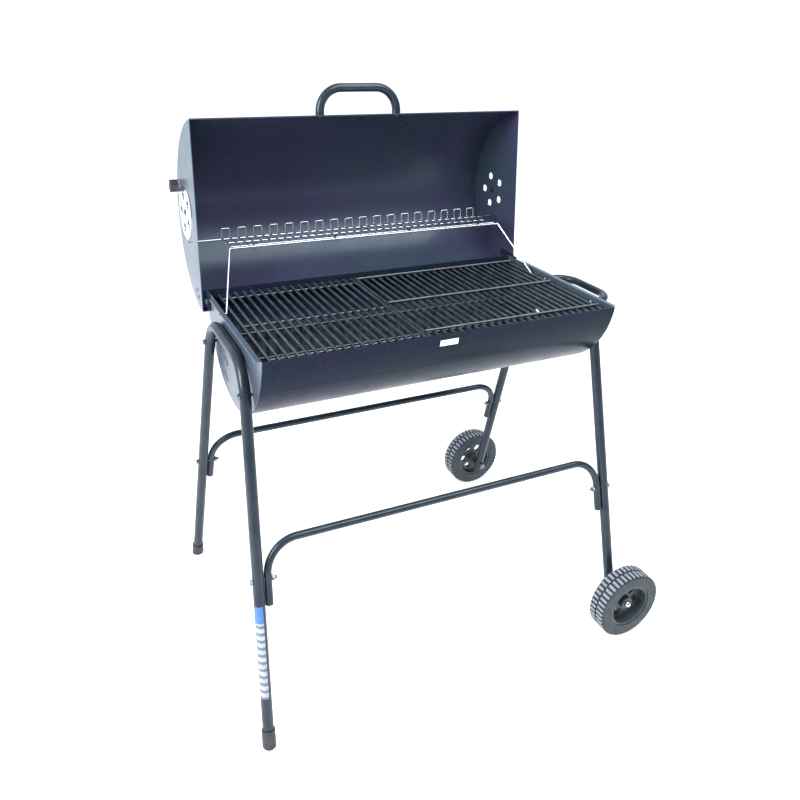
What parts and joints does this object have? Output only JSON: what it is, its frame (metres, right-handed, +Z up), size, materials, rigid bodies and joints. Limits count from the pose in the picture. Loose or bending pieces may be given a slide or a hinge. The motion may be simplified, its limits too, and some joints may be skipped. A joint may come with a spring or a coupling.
{
  "type": "barrel charcoal grill",
  "caption": "Half-barrel charcoal grill with a hinged lid, split cooking grates, a wire warming rack that swings with the lid, side vents and a tube stand on wheels.",
  "frame": {"origin": "bottom centre of the box round the whole grill with its lid open, on the floor", "axes": "+X along the barrel towards the wheels, +Y from the front to the back where the lid is hinged, +Z up"},
  "size_m": [0.8418, 0.6778, 1.0637],
  "materials": {
    "black_enamel": "glossy blue-black enamel",
    "grate_enamel": "dark grey, slightly glossy",
    "tube_paint": "semi-gloss black paint",
    "chrome_wire": "bright plated wire",
    "vent_chrome": "bright plated sheet",
    "black_plastic": "matt black moulding",
    "tyre": "grey-black moulded tread",
    "hub_plastic": "dark teal-grey moulding",
    "bright_nut": "bright domed nut",
    "badge_silver": "plain silver plate",
    "label_white": "plain printed strip without lettering",
    "zinc": "zinc plated"
  },
  "bodies": {
    "stand_and_bowl": {"arch_tube_left": "tube_paint", "arch_tube_right": "tube_paint", "axle_bolts": "zinc", "axle_spacers": "zinc", "blank_badge": "badge_silver", "bowl_bolts": "zinc", "bowl_end_left": "black_enamel", "bowl_end_right": "black_enamel", "bowl_nuts": "zinc", "bowl_shell": "black_enamel", "charcoal_grate": "grate_enamel", "cooking_grate_left": "grate_enamel", "cooking_grate_right": "grate_enamel", "foot_cap_front": "black_plastic", "foot_cap_rear": "black_plastic", "grate_ledge_front": "black_enamel", "grate_ledge_rear": "black_enamel", "hinge_bolts": "zinc", "hinge_nuts": "zinc", "hub_nuts": "bright_nut", "leg_front_left": "tube_paint", "leg_front_right": "tube_paint", "leg_label": "label_white", "leg_rear_left": "tube_paint", "leg_rear_right": "tube_paint", "side_handle": "tube_paint", "side_handle_screws": "zinc", "stretcher_bolts": "zinc", "stretcher_front": "tube_paint", "stretcher_nuts": "zinc", "stretcher_rear": "tube_paint"},
    "lid": {"lid_shell": "black_enamel", "lid_end_left": "black_enamel", "lid_end_right": "black_enamel", "hinge_bracket_left": "black_enamel", "hinge_bracket_right": "black_enamel", "hinge_rivets": "zinc", "lid_handle": "tube_paint", "lid_handle_screws": "zinc", "vent_rivets": "zinc"},
    "rack": {"warming_rack": "chrome_wire"},
    "rack_swing": {"rack_swing_wire": "chrome_wire"},
    "left_vent": {"vent_disc_left": "vent_chrome", "vent_knob_left": "black_plastic"},
    "right_vent": {"vent_disc_right": "vent_chrome", "vent_knob_right": "black_plastic"},
    "front_wheel": {"tyre_front": "tyre", "wheel_hub_front": "hub_plastic"},
    "rear_wheel": {"tyre_rear": "tyre", "wheel_hub_rear": "hub_plastic"}
  },
  "joints": [
    {"name": "lid_hinge", "type": "hinge", "parent": "stand_and_bowl", "child": "lid", "pos_m": [-0.02916, 0.14113, 0.665], "axis": [1, 0, 0], "range_deg": [0, 96]},
    {"name": "rack_hinge", "type": "hinge", "parent": "lid", "child": "rack", "pos_m": [-0.02916, 0.23813, 0.758], "axis": [1, 0, 0], "range_deg": [-96, 0]},
    {"name": "rack_swing_hinge", "type": "hinge", "parent": "stand_and_bowl", "child": "rack_swing", "pos_m": [-0.02916, 0.05313, 0.671], "axis": [1, 0, 0], "range_deg": [0, 96]},
    {"name": "left_vent_turn", "type": "hinge", "parent": "lid", "child": "left_vent", "pos_m": [-0.39116, 0.26328, 0.81304], "axis": [1, 0, 0], "range_deg": [0, 36]},
    {"name": "right_vent_turn", "type": "hinge", "parent": "lid", "child": "right_vent", "pos_m": [0.33284, 0.26328, 0.81304], "axis": [1, 0, 0], "range_deg": [0, 36]},
    {"name": "front_wheel_spin", "type": "hinge", "parent": "stand_and_bowl", "child": "front_wheel", "pos_m": [0.34841, -0.31887, 0.0725], "axis": [0, 1, 0], "continuous": true},
    {"name": "rear_wheel_spin", "type": "hinge", "parent": "stand_and_bowl", "child": "rear_wheel", "pos_m": [0.34841, 0.28113, 0.0725], "axis": [0, 1, 0], "continuous": true}
  ],
  "couplings": [
    {"joint": "rack_hinge", "follows": "lid_hinge", "ratio": -1},
    {"joint": "rack_swing_hinge", "follows": "lid_hinge", "ratio": 1}
  ]
}
